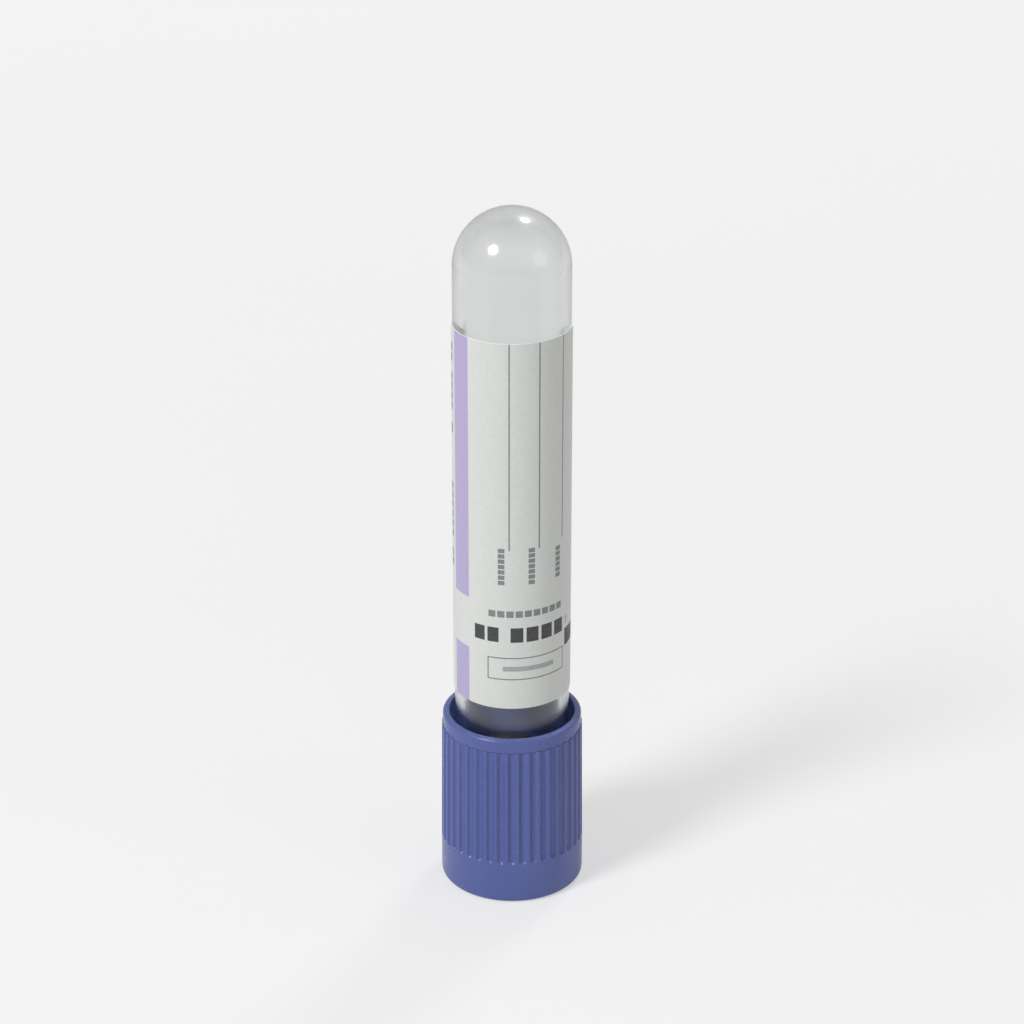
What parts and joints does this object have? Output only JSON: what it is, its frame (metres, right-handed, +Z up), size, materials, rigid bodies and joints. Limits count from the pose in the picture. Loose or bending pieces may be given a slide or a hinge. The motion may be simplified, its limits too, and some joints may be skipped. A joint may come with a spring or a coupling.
{
  "type": "blood collection tube",
  "caption": "Clear round-bottomed tube with a paper label, closed by a rubber stopper held in a ribbed lavender cap, which pulls off along the tube.",
  "frame": {"origin": "centre of the cap's flat top, on the table that the tube stands on upside down", "axes": "+Z up along the tube, from the cap to the round end; -Y the front, where the label is; +X across"},
  "size_m": [0.0164, 0.0162, 0.0815],
  "materials": {
    "clear_plastic": "clear, glossy, slightly blue-green at its edges",
    "label_paper": "coated white paper with printed bars and a violet stripe",
    "stopper_rubber": "dull dark grey-green",
    "cap_plastic": "satin lavender, moulded"
  },
  "bodies": {
    "closure": {"cap": "cap_plastic", "stopper": "stopper_rubber"},
    "vial": {"tube": "clear_plastic", "label": "label_paper"}
  },
  "joints": [
    {"name": "closure_pull", "type": "slide", "parent": "closure", "child": "vial", "axis": [0, 0, 1], "range_m": [0, 0.02]}
  ]
}
